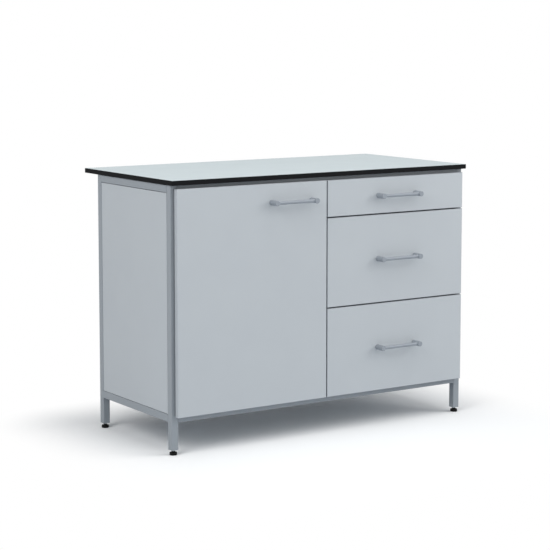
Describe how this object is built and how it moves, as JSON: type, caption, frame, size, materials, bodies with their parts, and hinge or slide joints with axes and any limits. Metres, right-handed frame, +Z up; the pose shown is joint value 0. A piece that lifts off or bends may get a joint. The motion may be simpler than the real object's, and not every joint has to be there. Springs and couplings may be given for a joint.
{
  "type": "laboratory table",
  "caption": "Laboratory bench with a laminate worktop on a square-tube steel frame, a hinged cupboard with a shelf, a stack of sliding drawers and levelling feet.",
  "frame": {"origin": "on the floor under the centre of the whole outline, handles and worktop included", "axes": "+X to the right for someone facing the fronts, +Y to the back, +Z up"},
  "size_m": [1.21, 0.639, 0.9],
  "materials": {
    "worktop_laminate": "satin",
    "frame_paint": "satin powder coat",
    "faced_board": "satin melamine facing",
    "front_board": "satin melamine facing",
    "drawer_board": "satin melamine facing",
    "drawer_base_board": "satin",
    "handle_metal": "satin",
    "zinc_steel": "zinc plated",
    "black_plastic": "satin"
  },
  "bodies": {
    "carcase": {"front_left_leg": "frame_paint", "front_right_leg": "frame_paint", "rear_left_leg": "frame_paint", "rear_right_leg": "frame_paint", "upper_front_rail": "frame_paint", "upper_rear_rail": "frame_paint", "upper_left_rail": "frame_paint", "upper_right_rail": "frame_paint", "lower_front_rail": "frame_paint", "lower_rear_rail": "frame_paint", "lower_left_rail": "frame_paint", "lower_right_rail": "frame_paint", "welded_tabs": "frame_paint", "left_side_panel": "faced_board", "right_side_panel": "faced_board", "back_panel": "faced_board", "floor_panel": "faced_board", "partition": "faced_board", "shelf": "faced_board", "worktop": "worktop_laminate", "shelf_pins": "zinc_steel", "leg_plugs": "black_plastic", "runner_packers": "faced_board", "hinge_arms": "zinc_steel", "hinge_plates": "zinc_steel", "top_slide_channels": "zinc_steel", "middle_slide_channels": "zinc_steel", "bottom_slide_channels": "zinc_steel"},
    "door": {"door_panel": "front_board", "door_handle": "handle_metal", "hinge_cups": "zinc_steel", "hinge_pins": "zinc_steel"},
    "top_drawer": {"top_drawer_front": "front_board", "top_drawer_handle": "handle_metal", "top_drawer_sides": "drawer_board", "top_drawer_box_front": "drawer_board", "top_drawer_box_back": "drawer_board", "top_drawer_base": "drawer_base_board", "top_drawer_runners": "zinc_steel"},
    "top_slide": {"top_slide_members": "zinc_steel"},
    "middle_drawer": {"middle_drawer_front": "front_board", "middle_drawer_handle": "handle_metal", "middle_drawer_sides": "drawer_board", "middle_drawer_box_front": "drawer_board", "middle_drawer_box_back": "drawer_board", "middle_drawer_base": "drawer_base_board", "middle_drawer_runners": "zinc_steel"},
    "middle_slide": {"middle_slide_members": "zinc_steel"},
    "bottom_drawer": {"bottom_drawer_front": "front_board", "bottom_drawer_handle": "handle_metal", "bottom_drawer_sides": "drawer_board", "bottom_drawer_box_front": "drawer_board", "bottom_drawer_box_back": "drawer_board", "bottom_drawer_base": "drawer_base_board", "bottom_drawer_runners": "zinc_steel"},
    "bottom_slide": {"bottom_slide_members": "zinc_steel"},
    "front_left_foot": {"front_left_foot": "black_plastic"},
    "front_right_foot": {"front_right_foot": "black_plastic"},
    "rear_left_foot": {"rear_left_foot": "black_plastic"},
    "rear_right_foot": {"rear_right_foot": "black_plastic"}
  },
  "joints": [
    {"name": "door_hinge", "type": "hinge", "parent": "carcase", "child": "door", "pos_m": [-0.579, -0.2743, 0.5], "axis": [0, 0, -1], "range_deg": [0, 95]},
    {"name": "top_drawer_slide", "type": "slide", "parent": "carcase", "child": "top_drawer", "axis": [0, -1, 0], "range_m": [0, 0.4]},
    {"name": "top_member_slide", "type": "slide", "parent": "carcase", "child": "top_slide", "axis": [0, -1, 0], "range_m": [0, 0.2]},
    {"name": "middle_drawer_slide", "type": "slide", "parent": "carcase", "child": "middle_drawer", "axis": [0, -1, 0], "range_m": [0, 0.4]},
    {"name": "middle_member_slide", "type": "slide", "parent": "carcase", "child": "middle_slide", "axis": [0, -1, 0], "range_m": [0, 0.2]},
    {"name": "bottom_drawer_slide", "type": "slide", "parent": "carcase", "child": "bottom_drawer", "axis": [0, -1, 0], "range_m": [0, 0.4]},
    {"name": "bottom_member_slide", "type": "slide", "parent": "carcase", "child": "bottom_slide", "axis": [0, -1, 0], "range_m": [0, 0.2]},
    {"name": "front_left_foot_screw", "type": "slide", "parent": "carcase", "child": "front_left_foot", "axis": [0, 0, -1], "range_m": [-0.003, 0.015]},
    {"name": "front_right_foot_screw", "type": "slide", "parent": "carcase", "child": "front_right_foot", "axis": [0, 0, -1], "range_m": [-0.003, 0.015]},
    {"name": "rear_left_foot_screw", "type": "slide", "parent": "carcase", "child": "rear_left_foot", "axis": [0, 0, -1], "range_m": [-0.003, 0.015]},
    {"name": "rear_right_foot_screw", "type": "slide", "parent": "carcase", "child": "rear_right_foot", "axis": [0, 0, -1], "range_m": [-0.003, 0.015]}
  ],
  "couplings": [
    {"joint": "top_member_slide", "follows": "top_drawer_slide", "ratio": 0.5},
    {"joint": "middle_member_slide", "follows": "middle_drawer_slide", "ratio": 0.5},
    {"joint": "bottom_member_slide", "follows": "bottom_drawer_slide", "ratio": 0.5}
  ]
}
